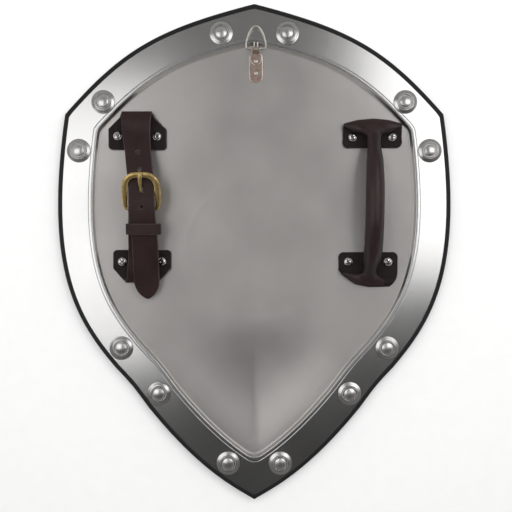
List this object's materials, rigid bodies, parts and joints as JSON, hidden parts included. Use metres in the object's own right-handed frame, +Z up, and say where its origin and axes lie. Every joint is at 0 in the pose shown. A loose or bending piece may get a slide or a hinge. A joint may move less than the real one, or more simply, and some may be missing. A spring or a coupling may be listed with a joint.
{
  "type": "heater shield",
  "caption": "Steel heater shield lying face down, with a raised panel, riveted border, edge trim, buckled arm strap, rolled leather grip and a wall-hanger ring.",
  "frame": {"origin": "on the surface the shield lies on, under the middle of the flat disc that it rests on, which is the middle of its outline", "axes": "+Y to the top corner, +X to the right as the bearer's side is looked at, +Z up out of the bearer's side"},
  "size_m": [0.4832, 0.61, 0.0589],
  "materials": {
    "satin_steel": "satin pressed sheet, brighter on the border",
    "edge_trim": "black, slightly glossy",
    "rivet_steel": "polished and turned",
    "screw_steel": "bright plated",
    "brown_leather": "dark brown, smooth finished, dyed edges",
    "antique_brass": "antiqued, rubbed bright on the high spots",
    "hanger_nickel": "plated sheet and wire, slightly dull"
  },
  "bodies": {
    "shield": {"shield_plate": "satin_steel", "edge_trim": "edge_trim", "rim_rosette_1": "rivet_steel", "rim_rivet_1": "rivet_steel", "rim_rosette_2": "rivet_steel", "rim_rivet_2": "rivet_steel", "rim_rosette_3": "rivet_steel", "rim_rivet_3": "rivet_steel", "rim_rosette_4": "rivet_steel", "rim_rivet_4": "rivet_steel", "rim_rosette_5": "rivet_steel", "rim_rivet_5": "rivet_steel", "rim_rosette_6": "rivet_steel", "rim_rivet_6": "rivet_steel", "rim_rosette_7": "rivet_steel", "rim_rivet_7": "rivet_steel", "rim_rosette_8": "rivet_steel", "rim_rivet_8": "rivet_steel", "rim_rosette_9": "rivet_steel", "rim_rivet_9": "rivet_steel", "rim_rosette_10": "rivet_steel", "rim_rivet_10": "rivet_steel", "rim_rosette_11": "rivet_steel", "rim_rivet_11": "rivet_steel", "rim_rosette_12": "rivet_steel", "rim_rivet_12": "rivet_steel", "strap_billet": "brown_leather", "strap_chape": "brown_leather", "strap_keeper": "brown_leather", "hand_grip": "brown_leather", "buckle_frame": "antique_brass", "buckle_tongue": "antique_brass", "strap_screw_1": "screw_steel", "strap_post_1": "screw_steel", "strap_screw_2": "screw_steel", "strap_post_2": "screw_steel", "strap_screw_3": "screw_steel", "strap_post_3": "screw_steel", "strap_screw_4": "screw_steel", "strap_post_4": "screw_steel", "grip_screw_1": "screw_steel", "grip_post_1": "screw_steel", "grip_screw_2": "screw_steel", "grip_post_2": "screw_steel", "grip_screw_3": "screw_steel", "grip_post_3": "screw_steel", "grip_screw_4": "screw_steel", "grip_post_4": "screw_steel", "hanger_plate": "hanger_nickel", "hanger_rivet_1": "hanger_nickel", "hanger_rivet_2": "hanger_nickel"},
    "wall_ring": {"hanger_ring": "hanger_nickel"}
  },
  "joints": [
    {"name": "ring_hinge", "type": "hinge", "parent": "shield", "child": "wall_ring", "pos_m": [0.002, 0.2506, 0.0158], "axis": [1, 0, 0], "range_deg": [0, 150]}
  ]
}
